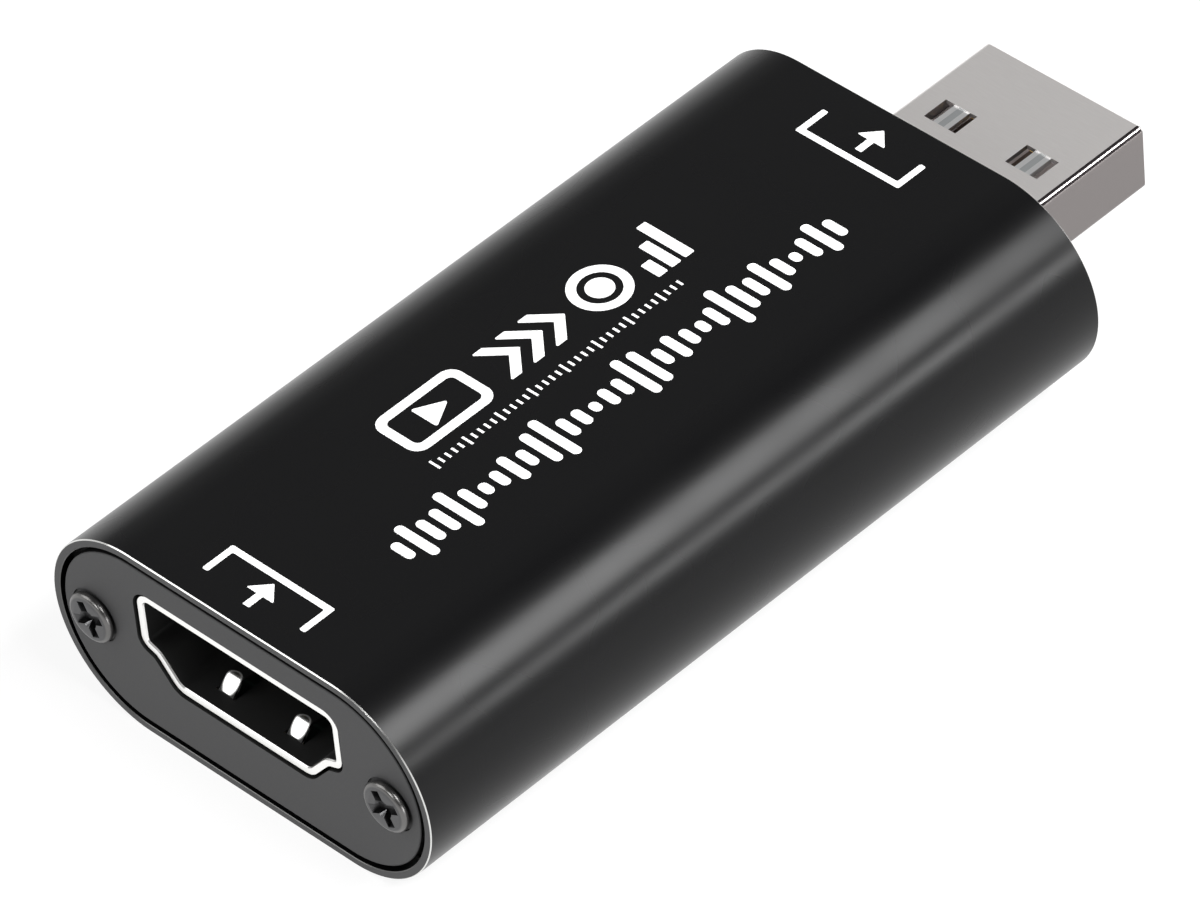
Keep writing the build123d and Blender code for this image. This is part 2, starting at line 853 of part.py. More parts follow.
# Resistors: a row of pull-ups behind the socket, and one in each data line
resistor = chip_part(small_chip_length, small_chip_width, resistor_height, small_chip_cap)
resistor_spots = [spot((share, pull_up_along_share), 90) for share in pull_up_across_shares]
resistor_spots += [spot(shares, 90) for shares in series_place_shares]
resistors = placed(resistor, resistor_spots)
resistors.label = "resistors"
export_step(resistors, "parts/resistors.step")
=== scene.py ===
import math

import bpy
from mathutils import Matrix, Vector


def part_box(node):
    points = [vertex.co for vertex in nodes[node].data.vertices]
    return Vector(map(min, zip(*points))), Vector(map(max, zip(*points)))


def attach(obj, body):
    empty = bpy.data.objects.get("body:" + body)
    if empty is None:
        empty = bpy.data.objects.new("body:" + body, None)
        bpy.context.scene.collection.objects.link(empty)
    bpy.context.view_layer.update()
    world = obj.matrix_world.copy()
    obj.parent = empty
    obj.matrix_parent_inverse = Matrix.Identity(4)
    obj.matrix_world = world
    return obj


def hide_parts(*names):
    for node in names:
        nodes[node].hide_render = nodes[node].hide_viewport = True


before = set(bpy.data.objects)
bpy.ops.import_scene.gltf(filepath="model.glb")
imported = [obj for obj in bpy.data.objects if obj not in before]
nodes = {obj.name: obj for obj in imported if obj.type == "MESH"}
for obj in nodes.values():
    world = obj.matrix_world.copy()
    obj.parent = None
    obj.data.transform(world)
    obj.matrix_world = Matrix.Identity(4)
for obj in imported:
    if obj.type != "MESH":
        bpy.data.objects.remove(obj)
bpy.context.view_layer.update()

# Housing tube: an obround aluminium extrusion, cut to length, with both ends milled
# for the end plates. It is bead blasted and anodised black. Its rims are then cut with
# a diamond outside and broken inside, which leaves a bright line and a dull one.
mm = 0.001
tube_low, tube_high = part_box("housing_tube")
board_low, board_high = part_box("circuit_board")
tube_middle = (tube_low + tube_high) / 2
mid_height = tube_middle.z
half_width = (tube_high.x - tube_low.x) / 2
side_radius = (tube_high.z - tube_low.z) / 2
flat_half = half_width - side_radius
side_steps = 56
face_crease = 30
wall = 1.0 * mm
rim_lip = 0.5 * mm
rebate_depth = 1.25 * mm
rim_cut = 0.06 * mm
rim_round = 0.035 * mm
port_inset = 3.1 * mm
port_radius = 1.7 * mm
port_bore = 0.87 * mm
port_mouth = 1.0 * mm
port_steps = 20
rib_thickness = 0.9 * mm
rib_overlap = 1.1 * mm
slot_gap = 0.15 * mm


def linear(code):
    """An sRGB hex colour as linear red, green, blue and alpha."""
    shares = [int(code[start : start + 2], 16) / 255 for start in (1, 3, 5)]
    curved = [c / 12.92 if c <= 0.04045 else ((c + 0.055) / 1.055) ** 2.4 for c in shares]
    return (*curved, 1)


def add_node(tree, kind, settings=None, links=None):
    """Add a node to a tree. A setting is an input or a property, a link an input's source."""
    node = tree.nodes.new(kind)
    for name, value in (settings or {}).items():
        if isinstance(name, int) or name in node.inputs:
            node.inputs[name].default_value = value
        else:
            setattr(node, name, value)
    for name, source in (links or {}).items():
        tree.links.new(node.inputs[name], source)
    return node


def start_material(name, settings):
    """A new material with one principled shader, and the place of each point in metres."""
    material = bpy.data.materials.new(name)
    material.use_nodes = True
    tree = material.node_tree
    tree.nodes.clear()
    shader = add_node(tree, "ShaderNodeBsdfPrincipled", settings)
    add_node(tree, "ShaderNodeOutputMaterial", links={"Surface": shader.outputs[0]})
    place = add_node(tree, "ShaderNodeTexCoord").outputs["Object"]
    return material, tree, shader, place


# The sockets by which a mix node takes two colours and gives one, and the depth of the
# pits in a surface, with how strongly they show on a smooth one and on a rough one.
colour_a, colour_b, colour_out = 6, 7, 2
pit_depth, smooth_relief, rough_relief = 0.01 * mm, 0.08, 0.12


def mottle(tree, shader, place, grain, tones, relief):
    """Give a shader specks of a size between two tones, and pits that follow them."""
    specks = add_node(
        tree, "ShaderNodeTexNoise", {"Scale": 1 / grain, "Detail": 2}, {"Vector": place}
    ).outputs["Fac"]
    dark, light = map(linear, tones)
    tone = add_node(
        tree,
        "ShaderNodeMix",
        {"data_type": "RGBA", colour_a: dark, colour_b: light},
        {0: specks},
    )
    pits = add_node(
        tree, "ShaderNodeBump", {"Strength": relief, "Distance": pit_depth}, {"Height": specks}
    )
    tree.links.new(shader.inputs["Base Color"], tone.outputs[colour_out])
    tree.links.new(shader.inputs["Normal"], pits.outputs[0])


def grained(name, tones, roughness, grain):
    """A matte skin, blasted, moulded or fired, with specks and pits the size of its grain."""
    material, tree, shader, place = start_material(name, {"Roughness": roughness, "IOR": 1.5})
    mottle(tree, shader, place, grain, tones, rough_relief)
    return material, tree, shader, place


def cut_metal(name, tones, roughness, line, streak):
    """Bare or plated metal. Its tool lines run along the axis on which the streak is small."""
    material, tree, shader, place = start_material(
        name, {"Metallic": 1, "Roughness": roughness}
    )
    along = add_node(
        tree, "ShaderNodeMapping", {"Scale": streak}, {"Vector": place}
    ).outputs[0]
    mottle(tree, shader, along, line, tones, smooth_relief)
    return material, tree, shader, place


def build(name, vertices, faces, materials, face_materials=None):
    """A smooth-shaded mesh object, sharp where its faces meet at more than the crease."""
    mesh = bpy.data.meshes.new(name)
    mesh.from_pydata(vertices, [], faces)
    for material in materials:
        mesh.materials.append(material)
    if face_materials:
        mesh.polygons.foreach_set("material_index", face_materials)
    mesh.shade_smooth()
    mesh.set_sharp_from_angle(angle=math.radians(face_crease))
    piece = bpy.data.objects.new(name, mesh)
    bpy.context.scene.collection.objects.link(piece)
    return piece


def obround(inset, place):
    """A ring of points round the tube at a place along it, inset from its outer surface."""
    radius = side_radius - inset
    ring = []
    for side in (1, -1):
        for step in range(side_steps + 1):
            turn = math.pi * step / side_steps
            x = side * (flat_half + radius * math.sin(turn))
            ring.append((x, place, mid_height + side * radius * math.cos(turn)))
    return ring


def sweep(rings, closed=True):
    """Vertices and faces of a skin through rings of equal counts, as quads."""
    count = len(rings[0])
    vertices = [point for ring in rings for point in ring]
    faces = []
    for row in range(len(rings) if closed else len(rings) - 1):
        start, after = row * count, (row + 1) % len(rings) * count
        for step in range(count):
            turn = (step + 1) % count
            faces.append((start + step, start + turn, after + turn, after + step))
    return vertices, faces


def prism(outline, near, far):
    """Vertices and faces of an outline in X and Z, drawn out along Y between two places."""
    count = len(outline)
    vertices = [(x, y, z) for y in (near, far) for x, z in outline]
    faces = [tuple(range(count)), tuple(range(2 * count - 1, count - 1, -1))]
    for step in range(count):
        after = (step + 1) % count
        faces.append((step, after, count + after, count + step))
    return vertices, faces


def open_circle(across, radius, gap):
    """Points in X and Z round a port's axis, which leave a gap on both sides of the start."""
    turns = [gap + (math.tau - 2 * gap) * step / port_steps for step in range(port_steps + 1)]
    return [
        (across + radius * math.cos(turn), mid_height + abs(radius) * math.sin(turn))
        for turn in turns
    ]


# The skin follows one profile from the bore, over the front rim and the outside to the
# rear rim and back. Each row of its faces has one of the four finishes.
front_rim, rear_rim = tube_low.y, tube_high.y
front_seat = front_rim + rebate_depth
rear_seat = rear_rim - rebate_depth
half_profile = [
    (wall, front_seat),
    (rim_lip, front_seat),
    (rim_lip, front_rim + rim_round),
    (rim_lip - rim_round, front_rim),
    (rim_cut, front_rim),
    (0, front_rim + rim_cut),
]
other_half = [(inset, front_rim + rear_rim - place) for inset, place in reversed(half_profile)]
tube_vertices, tube_faces = sweep(
    [obround(inset, place) for inset, place in half_profile + other_half]
)
ring_count = len(obround(0, front_rim))
skin, milled, bright, broken = range(4)
end_finish = [skin, skin, broken, milled, bright]
row_finish = [*end_finish, skin, *reversed(end_finish), skin]
tube_finish = [finish for finish in row_finish for step in range(ring_count)]

# Inside, each side has a port for the screws, open towards the middle, a web that
# joins it to the wall, and a rib that the edge of the circuit board lies on.
port_place = half_width - port_inset
mouth_turn = math.asin(port_mouth / 2 / port_radius)
bore_turn = math.asin(port_mouth / 2 / port_bore)
rib_top = board_low.z - slot_gap
rib_bottom = rib_top - rib_thickness
rib_drop = mid_height - rib_bottom
rib_reach = flat_half + math.sqrt((side_radius - wall / 2) ** 2 - rib_drop**2)
for side in (1, -1):
    outer = open_circle(side * port_place, -side * port_radius, mouth_turn)
    inner = open_circle(side * port_place, -side * port_bore, bore_turn)
    web_start = side * (port_place + port_bore)
    web_end = side * (half_width - wall / 2)
    web = [
        (web_start, mid_height - port_radius),
        (web_end, mid_height - port_radius),
        (web_end, mid_height + port_radius),
        (web_start, mid_height + port_radius),
    ]
    rib_start, rib_end = side * (board_high.x - rib_overlap), side * rib_reach
    rib = [
        (rib_start, rib_bottom),
        (rib_end, rib_bottom),
        (rib_end, rib_top),
        (rib_start, rib_top),
    ]
    for outline in (outer + inner[::-1], web, rib):
        vertices, faces = prism(outline, front_seat, rear_seat)
        tube_faces += [tuple(len(tube_vertices) + corner for corner in face) for face in faces]
        tube_vertices += vertices
        tube_finish += [skin] * len(faces)

# Black dye sealed in a blasted skin gives an even black with a soft sheen, a little
# glossier in patches. The pits that beads leave, 0.03 mm wide, are too fine to show
# and are drawn three times as wide.
blasted_pit = 0.09 * mm
glossy_patch = 6 * mm
black_skin, tree, shader, place = start_material(
    "black_anodised_aluminium", {"IOR": 1.5, "Specular IOR Level": 0.22}
)
mottle(tree, shader, place, blasted_pit, ("#050506", "#0B0B0C"), smooth_relief)
patches = add_node(
    tree, "ShaderNodeTexNoise", {"Scale": 1 / glossy_patch, "Detail": 1}, {"Vector": place}
)
sheen = add_node(
    tree,
    "ShaderNodeMapRange",
    {"From Min": 0.3, "From Max": 0.7, "To Min": 0.26, "To Max": 0.3},
    {"Value": patches.outputs["Fac"]},
)
tree.links.new(shader.inputs["Roughness"], sheen.outputs[0])

# The flat of the rim took less dye where the mill had smoothed it, so it is dark grey.
# The diamond cuts through the dye and leaves a thin line of near white. The broken edge
# inside it is a duller grey. Tool lines 0.02 mm apart are too fine to show: on the flat
# they are drawn as grains 0.07 mm wide, and on the two edges as a slow change of tone.
milled_grain, edge_change = 0.07 * mm, 0.5 * mm
no_streak = (1, 1, 1)
finishes = [
    black_skin,
    grained("milled_rim_aluminium", ("#3A3A3B", "#464647"), 0.5, milled_grain)[0],
    cut_metal(
        "diamond_cut_aluminium", ("#CCCCCA", "#E4E4E2"), 0.22, edge_change, no_streak
    )[0],
    cut_metal(
        "broken_edge_aluminium", ("#5E5E5D", "#6C6C6B"), 0.3, edge_change, no_streak
    )[0],
]
tube = build("tube_skin", tube_vertices, tube_faces, finishes, tube_finish)
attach(tube, "root")
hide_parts("housing_tube")

# End plates: 1.2 mm aluminium blanks, blasted and anodised. Their faces are grey, and the edges
# of the blank and of its openings are painted near black, as the shade in the gaps round the
# plate and in its openings.


def dress(material, *names):
    """Give the one material to each of the named pieces of the frame."""
    for name in names:
        nodes[name].material_slots[0].material = material


# Blasting leaves the plates without streaks, the same quiet grey from every side. Their
# pits, 0.03 mm wide, are too fine to show and are drawn at 0.07 mm.
plate_pit = 0.07 * mm
plate_grey, tree, shader, _ = grained(
    "blasted_plate_aluminium", ("#3A3A3B", "#474748"), 0.55, plate_pit
)
# Painted shade: where a face does not look along Y, at the edges of the blank and of its
# openings, the grey is mixed towards near black.
face_tone = shader.inputs["Base Color"].links[0].from_socket
normal = add_node(tree, "ShaderNodeTexCoord").outputs["Normal"]
along = add_node(tree, "ShaderNodeSeparateXYZ", links={"Vector": normal}).outputs["Y"]
flat = add_node(tree, "ShaderNodeMath", {"operation": "ABSOLUTE"}, {0: along}).outputs[0]
tone = add_node(
    tree,
    "ShaderNodeMix",
    {"data_type": "RGBA", colour_a: linear("#080808")},
    {0: flat, colour_b: face_tone},
)
tree.links.new(shader.inputs["Base Color"], tone.outputs[colour_out])
dress(plate_grey, "input_end_plate", "output_end_plate")

# Plate screws: small steel screws with a flat head and a cross recess, pressed and then
# thread rolled. Black oxide covers them, burnished over the rounded edge of the head.
head_radius = 1.6 * mm
head_height = 0.65 * mm
head_sink = 0.15 * mm
head_round = 0.28 * mm
head_round_steps = 4
head_crease = 35
shank_radius = 0.85 * mm
shank_length = 5.0 * mm
thread_depth = 0.13 * mm
thread_pitch = 0.4 * mm
thread_turns = round(shank_length / thread_pitch) - 2
root_lag = 0.35
recess_reach = 1.15 * mm
recess_half = 0.3 * mm
recess_depth = 0.45 * mm
recess_core = 0.62 * mm
recess_taper = 0.8
recess_steps = 32
cutter_rise = 1.0 * mm
plate_recess = 0.05 * mm
turn_steps = 64

# The sockets by which a mix node takes two plain numbers and gives one.
number_a, number_b, number_out = 2, 3, 0


def cover(tree, shader, mask, colour, metallic, roughness):
    """Where a mask is 1, the surface takes another colour, metalness and roughness."""
    settings = {"Base Color": linear(colour), "Metallic": metallic, "Roughness": roughness}
    for name, value in settings.items():
        if name == "Base Color":
            kind, under, over, result = "RGBA", colour_a, colour_b, colour_out
        else:
            kind, under, over, result = "FLOAT", number_a, number_b, number_out
        socket = shader.inputs[name]
        mix = add_node(tree, "ShaderNodeMix", {"data_type": kind, over: value}, {0: mask})
        if socket.is_linked:
            tree.links.new(mix.inputs[under], socket.links[0].from_socket)
        else:
            mix.inputs[under].default_value = socket.default_value
        tree.links.new(socket, mix.outputs[result])


# Black oxide is a thin skin, so the heads are nearly black and still shine like metal,
# paler where they are burnished. Marks 0.02 mm wide are too fine to show and are drawn
# at 0.08 mm.
oxide_mark = 0.08 * mm
burnish_start, burnish_full = head_radius - head_round, head_radius - 0.6 * head_round
blackened, tree, shader, place = cut_metal(
    "black_oxide_steel", ("#4A4A4B", "#5A5A5B"), 0.3, oxide_mark, no_streak
)
across = add_node(
    tree, "ShaderNodeMapping", {"Scale": (1, 1, 0)}, {"Vector": place}
).outputs[0]
from_axis = add_node(
    tree, "ShaderNodeVectorMath", {"operation": "LENGTH"}, {0: across}
).outputs["Value"]
burnished = add_node(
    tree,
    "ShaderNodeMapRange",
    {"From Min": burnish_start, "From Max": burnish_full},
    {"Value": from_axis},
).outputs[0]
cover(tree, shader, burnished, "#706F6E", 1, 0.3)


def circle(radius, height, steps=turn_steps):
    """A ring of points about the Z axis at a height."""
    return [
        (radius * math.cos(turn), radius * math.sin(turn), height)
        for turn in (math.tau * step / steps for step in range(steps))
    ]


def capped(rings):
    """Vertices and faces of a skin through rings, closed by a face at each end."""
    vertices, faces = sweep(rings, closed=False)
    count = len(rings[0])
    last = len(vertices) - count
    return vertices, faces + [tuple(reversed(range(count))), tuple(range(last, last + count))]


def applied(piece):
    """A new mesh of a piece with its modifiers applied."""
    evaluated = piece.evaluated_get(bpy.context.evaluated_depsgraph_get())
    return bpy.data.meshes.new_from_object(evaluated)


def screw_mesh():
    """One screw about its own axis, the underside of its head at zero, its recess cut out.

    Its thread is drawn as level rings, since its slope is too slight to show.
    """
    thread_root = shank_radius - thread_depth
    rings = [circle(thread_root, -shank_length)]
    for turn in range(thread_turns, 0, -1):
        rings.append(circle(thread_root, -(turn + root_lag) * thread_pitch))
        rings.append(circle(shank_radius, -turn * thread_pitch))
    rings += [circle(thread_root, 0), circle(head_radius - head_round, 0)]
    rings.append(circle(head_radius, head_round))
    for step in range(head_round_steps + 1):
        angle = math.pi / 2 * step / head_round_steps
        radius = head_radius - head_round * (1 - math.cos(angle))
        rings.append(circle(radius, head_height - head_round * (1 - math.sin(angle))))
    head = build("screw_blank", *capped(rings), [blackened])
    recess_floor, above = head_height - recess_depth, head_height + cutter_rise
    core = [
        circle(recess_half, recess_floor, recess_steps),
        circle(recess_core, head_height, recess_steps),
        circle(recess_core, above, recess_steps),
    ]
    cutters = [build("core_cutter", *capped(core), [blackened])]
    corners = ((-1, -1), (1, -1), (1, 1), (-1, 1))
    levels = ((recess_floor, recess_taper), (head_height, 1), (above, 1))
    for reach, half in ((recess_reach, recess_half), (recess_half, recess_reach)):
        cross = [
            [(x * reach * share, y * half * share, height) for x, y in corners]
            for height, share in levels
        ]
        cutters.append(build("wing_cutter", *capped(cross), [blackened]))
    for cutter in cutters:
        cut = head.modifiers.new("cut", "BOOLEAN")
        cut.operation, cut.solver, cut.object = "DIFFERENCE", "EXACT", cutter
    mesh = applied(head)
    for spare in [head, *cutters]:
        bpy.data.objects.remove(spare)
    mesh.set_sharp_from_angle(angle=math.radians(head_crease))
    return mesh


# Each screw is left at the turn, in degrees, at which its driver stopped.
screw_shape = screw_mesh()
for end, outward, spins in (("input", -1, (25, 28)), ("output", 1, (60, 10))):
    face = front_rim + plate_recess if outward < 0 else rear_rim - plate_recess
    toward = Vector((0, outward, 0)).to_track_quat("Z", "X").to_matrix().to_4x4()
    for side, hand, spin in zip((-1, 1), ("left", "right"), spins):
        screw = bpy.data.objects.new(f"{end}_plate_screw_{hand}", screw_shape)
        seat = Vector((side * port_place, face - outward * head_sink, mid_height))
        driven = Matrix.Rotation(math.radians(spin), 4, "Z")
        screw.matrix_world = Matrix.Translation(seat) @ toward @ driven
        bpy.context.scene.collection.objects.link(screw)
        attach(screw, "root")
        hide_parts(f"{end}_plate_screws")

# Print: white ink, pad printed on the flat top. A row of plain signs shows a screen,
# arrows, a recording dot and a level, over a scale of ticks and a sound wave. By each
# end a tray with an arrow shows which way the signal goes.
ink_height = 0.015 * mm
corner_steps = 6
stroke = 0.6 * mm

# Two-part ink dries to a nearly flat white, thinner in spots where the pad lifted off.
# The spots are about 0.1 mm wide, too fine to show, and are drawn at 0.35 mm.
thin_spot = 0.35 * mm
ink, tree, shader, place = start_material(
    "white_pad_ink", {"Roughness": 0.45, "IOR": 1.48, "Specular IOR Level": 0.3}
)
spots = add_node(
    tree, "ShaderNodeTexNoise", {"Scale": 1 / thin_spot, "Detail": 2}, {"Vector": place}
)
tone = add_node(
    tree,
    "ShaderNodeMix",
    {"data_type": "RGBA", colour_a: linear("#F8F8F8"), colour_b: linear("#FFFFFF")},
    {0: spots.outputs["Fac"]},
)
tree.links.new(shader.inputs["Base Color"], tone.outputs[colour_out])


def rounded(corners, radius):
    """A closed outline with each of its corners rounded by an arc of one radius."""
    outline = []
    for number, corner in enumerate(corners):
        before, here = Vector(corners[number - 1]), Vector(corner)
        after = Vector(corners[(number + 1) % len(corners)])
        into, out = (here - before).normalized(), (after - here).normalized()
        bend = into.angle_signed(out)
        reach = radius * math.tan(abs(bend) / 2)
        start = here - into * reach
        side = Vector((into.y, -into.x)) if bend > 0 else Vector((-into.y, into.x))
        centre = start + side * radius
        for step in range(corner_steps + 1):
            angle = -bend * step / corner_steps
            outline.append(tuple(centre + Matrix.Rotation(angle, 2) @ (start - centre)))
    return outline


def disc(centre, radius):
    """A round outline about a centre."""
    return [(centre[0] + x, centre[1] + y) for x, y, _ in circle(radius, 0)]


def bar(left, right, bottom, top, radius):
    """An upright block with rounded corners."""
    return rounded([(left, bottom), (right, bottom), (right, top), (left, top)], radius)


def signed_area(places, face):
    """The area of a face on the flat top, which is positive where the face looks up."""
    corners = [places[corner] for corner in face]
    pairs = zip(corners, corners[1:] + corners[:1])
    return sum(a[0] * b[1] - b[0] * a[1] for a, b in pairs) / 2


def ink_mark(name, filled, rings=(), upright=False):
    """A mark of filled outlines and rings. Its own right is +Y, or +X where it is upright."""
    vertices, faces = [], []
    for outline in filled:
        faces.append(tuple(range(len(vertices), len(vertices) + len(outline))))
        vertices += outline
    for outer, inner in rings:
        start, count = len(vertices), len(outer)
        vertices += outer + inner
        for step in range(count):
            near, turn = start + step, start + (step + 1) % count
            faces.append((near, turn, count + turn, count + near))
    if upright:
        places = [(x, tube_middle.y + y, tube_high.z) for x, y in vertices]
    else:
        places = [(-y, tube_middle.y + x, tube_high.z) for x, y in vertices]
    faces = [face if signed_area(places, face) > 0 else face[::-1] for face in faces]
    mark = build(name, places, faces, [ink])
    film = mark.modifiers.new("film", "SOLIDIFY")
    film.thickness, film.offset = ink_height, 1
    mesh = applied(mark)
    mesh.shade_flat()
    mark.modifiers.clear()
    mark.data = mesh
    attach(mark, "root")


# The row of signs, from the input's end: the screen with a play sign, three arrows, the
# recording dot in its ring, and three bars for the level.
row_bottom, row_top = 1.2 * mm, 5.0 * mm
row_middle = (row_bottom + row_top) / 2
screen_left, screen_right = -10.7 * mm, -4.4 * mm
screen_corner, glass_corner = 0.9 * mm, 0.4 * mm
screen = (
    bar(screen_left, screen_right, row_bottom, row_top, screen_corner),
    bar(
        screen_left + stroke,
        screen_right - stroke,
        row_bottom + stroke,
        row_top - stroke,
        glass_corner,
    ),
)
play_reach, play_corner = 1.05 * mm, 0.12 * mm
play_middle = (screen_left + screen_right) / 2
play_back = play_middle - 0.8 * play_reach
play = rounded(
    [
        (play_back, row_middle - play_reach),
        (play_middle + play_reach, row_middle),
        (play_back, row_middle + play_reach),
    ],
    play_corner,
)
arrows = []
arrow_left, arrow_pitch, arrow_count = -3.2 * mm, 1.75 * mm, 3
arrow_half, arrow_reach, arrow_stroke, arrow_corner = 1.55 * mm, 1.4 * mm, 0.85 * mm, 0.08 * mm
for step in range(arrow_count):
    left = arrow_left + step * arrow_pitch
    arrow = [
        (left, row_middle - arrow_half),
        (left + arrow_stroke, row_middle - arrow_half),
        (left + arrow_stroke + arrow_reach, row_middle),
        (left + arrow_stroke, row_middle + arrow_half),
        (left, row_middle + arrow_half),
        (left + arrow_reach, row_middle),
    ]
    arrows.append(rounded(arrow, arrow_corner))
dot_place, dot_radius, ring_radius = 5.3 * mm, 0.85 * mm, 1.9 * mm
dot = disc((dot_place, row_middle), dot_radius)
ring = [disc((dot_place, row_middle), radius) for radius in (ring_radius, ring_radius - stroke)]
levels = []
level_left, level_width, level_pitch = 8.0 * mm, 0.72 * mm, 1.05 * mm
level_count, lowest_level, level_corner = 3, 1.2, 0.1 * mm
for step in range(level_count):
    left = level_left + step * level_pitch
    share = (step + lowest_level) / (level_count - 1 + lowest_level)
    level_top = row_bottom + (row_top - row_bottom) * share
    levels.append(bar(left, left + level_width, row_bottom, level_top, level_corner))
ink_mark("print_signs", [play, *arrows, dot, *levels], [screen, ring])

# The scale has a longer tick at every fifth place.
ticks = []
tick_count, tick_pitch, tick_width = 39, 0.5 * mm, 0.15 * mm
long_half, short_half, long_step = 0.42 * mm, 0.24 * mm, 5
for step in range(tick_count):
    left = screen_left + step * tick_pitch
    right = left + tick_width
    half = short_half if step % long_step else long_half
    ticks.append([(left, -half), (right, -half), (right, half), (left, half)])
ink_mark("print_scale", ticks)

# The wave's bars swell to a slow beat, and a quick ripple makes them uneven.
wave = []
wave_left, wave_middle, wave_count = -16.8 * mm, -3.45 * mm, 33
wave_pitch, wave_width = 1.05 * mm, 0.62 * mm
wave_corner = wave_width / 2.02
still_half, swell_half = 0.42 * mm, 1.65 * mm
slow_beat, beat_start, quick_beat, ripple = 0.42, 0.4, 1.9, 0.38
for step in range(wave_count):
    left = wave_left + step * wave_pitch
    uneven = 1 - ripple + ripple * math.sin(quick_beat * step)
    half = still_half + swell_half * uneven * abs(math.sin(slow_beat * step + beat_start))
    bottom, top = wave_middle - half, wave_middle + half
    wave.append(bar(left, left + wave_width, bottom, top, wave_corner))
ink_mark("print_wave", wave)

# By the socket an arrow points into a tray, and by the plug out of one.
tray_half, tray_depth, tray_stroke, tray_corner = 3.9 * mm, 2.3 * mm, 0.42 * mm, 0.12 * mm
stem_half, stem_corner, arrow_length = 0.24 * mm, 0.06 * mm, 2.15 * mm
point_half, point_reach = 1.05 * mm, 1.1 * mm
start_in_tray, start_outside = 0.95 * mm, -0.55 * mm
input_sign_place, output_sign_place = -24.3 * mm, 21.7 * mm


def tray_and_arrow(bottom, opens_up):
    """A tray that opens to one side, with an arrow into it or out of it."""
    top = bottom + tray_depth
    floor, brim = (bottom, top) if opens_up else (top, bottom)
    inside = floor + (tray_stroke if opens_up else -tray_stroke)
    tray = [
        (-tray_half, brim),
        (-tray_half, floor),
        (tray_half, floor),
        (tray_half, brim),
        (tray_half - tray_stroke, brim),
        (tray_half - tray_stroke, inside),
        (tray_stroke - tray_half, inside),
        (tray_stroke - tray_half, brim),
    ]
    start = bottom + (start_in_tray if opens_up else start_outside)
    tip = start + arrow_length
    arrow = [
        (-stem_half, start),
        (stem_half, start),
        (stem_half, tip - point_reach),
        (point_half, tip - point_reach),
        (0, tip),
        (-point_half, tip - point_reach),
        (-stem_half, tip - point_reach),
    ]
    return [rounded(tray, tray_corner), rounded(arrow, stem_corner)]


ink_mark("print_input_sign", tray_and_arrow(input_sign_place, False), upright=True)
ink_mark("print_output_sign", tray_and_arrow(output_sign_place, True), upright=True)

# Input socket: a stamped steel shell, nickel plated. Its lip and the sprung tabs that a plug
# rubs on are bright, and the walls deep in the mouth are painted dark and matt as shade.
lip_edge = 0.45 * mm
lip_depth = 0.1 * mm
mouth_height = 4.95 * mm
spring_place = 2.625 * mm
patch_half_width, patch_half_length, patch_setback = 0.53 * mm, 0.6 * mm, 1.66 * mm
patch_full, patch_end = 0.85, 1.1
margin = 0.03 * mm
shell_low, shell_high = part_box("socket_shell")
roof = shell_high.z - lip_edge
mouth_floor = roof - mouth_height
mouth = shell_low.y


def within(tree, place, axis, low, high, about=None):
    """A mask that is 1 between two places along an axis, or two distances from a place."""
    at = add_node(tree, "ShaderNodeSeparateXYZ", links={"Vector": place}).outputs[axis]
    if about is not None:
        shift = add_node(tree, "ShaderNodeMath", {"operation": "SUBTRACT", 1: about}, {0: at})
        at = add_node(
            tree, "ShaderNodeMath", {"operation": "ABSOLUTE"}, {0: shift.outputs[0]}
        ).outputs[0]
    span = {"operation": "COMPARE", 1: (low + high) / 2, 2: (high - low) / 2}
    return add_node(tree, "ShaderNodeMath", span, {0: at}).outputs[0]


def combine(tree, operation, *masks):
    """Masks joined two at a time: MINIMUM keeps their overlap and MAXIMUM all of them."""
    joined = masks[0]
    for mask in masks[1:]:
        joined = add_node(
            tree, "ShaderNodeMath", {"operation": operation}, {0: joined, 1: mask}
        ).outputs[0]
    return joined


# Nickel over smooth sheet gives a warm near white with a soft shine. Rolling lines run
# from front to back. They are 0.01 mm apart, too fine to show, and are drawn at 0.06 mm.
# Deep in the mouth hardly any light reaches it, so its walls are drawn dark and matt.
rolled_line = 0.06 * mm
streak_along = (1, 0.05, 1)
nickel, tree, shader, place = cut_metal(
    "nickel_plated_sheet", ("#F4F3F1", "#FFFFFD"), 0.3, rolled_line, streak_along
)
deep = combine(
    tree,
    "MINIMUM",
    within(tree, place, "Y", mouth + lip_depth, shell_high.y),
    within(tree, place, "X", -margin, shell_high.x - lip_edge + margin, about=0),
    within(tree, place, "Z", mouth_floor - margin, roof + margin),
)

# An oval with a soft edge on each tab, where the tab catches the light, is kept out of the
# painted shade.
either_side = add_node(
    tree, "ShaderNodeVectorMath", {"operation": "ABSOLUTE"}, {0: place}
).outputs[0]
from_patch = add_node(
    tree,
    "ShaderNodeMapping",
    {
        "vector_type": "TEXTURE",
        "Location": (spring_place, abs(mouth + patch_setback), 0),
        "Scale": (patch_half_width, patch_half_length, 1),
    },
    {"Vector": either_side},
).outputs[0]
distance = add_node(
    tree, "ShaderNodeVectorMath", {"operation": "LENGTH"}, {0: from_patch}
).outputs["Value"]
lit_tab_oval = add_node(
    tree,
    "ShaderNodeMapRange",
    {"From Min": patch_end, "From Max": patch_full},
    {"Value": distance},
).outputs[0]
springs = combine(
    tree, "MINIMUM", lit_tab_oval, within(tree, place, "Z", mouth_floor + margin, roof - margin)
)
# Painted shade: the walls deep in the mouth, all but the lit ovals on the tabs, take a dark
# matt colour.
painted_mouth_shade = add_node(
    tree, "ShaderNodeMath", {"operation": "SUBTRACT", "use_clamp": True}, {0: deep, 1: springs}
).outputs[0]
cover(tree, shader, painted_mouth_shade, "#060606", 0, 0.6)
dress(nickel, "socket_shell")

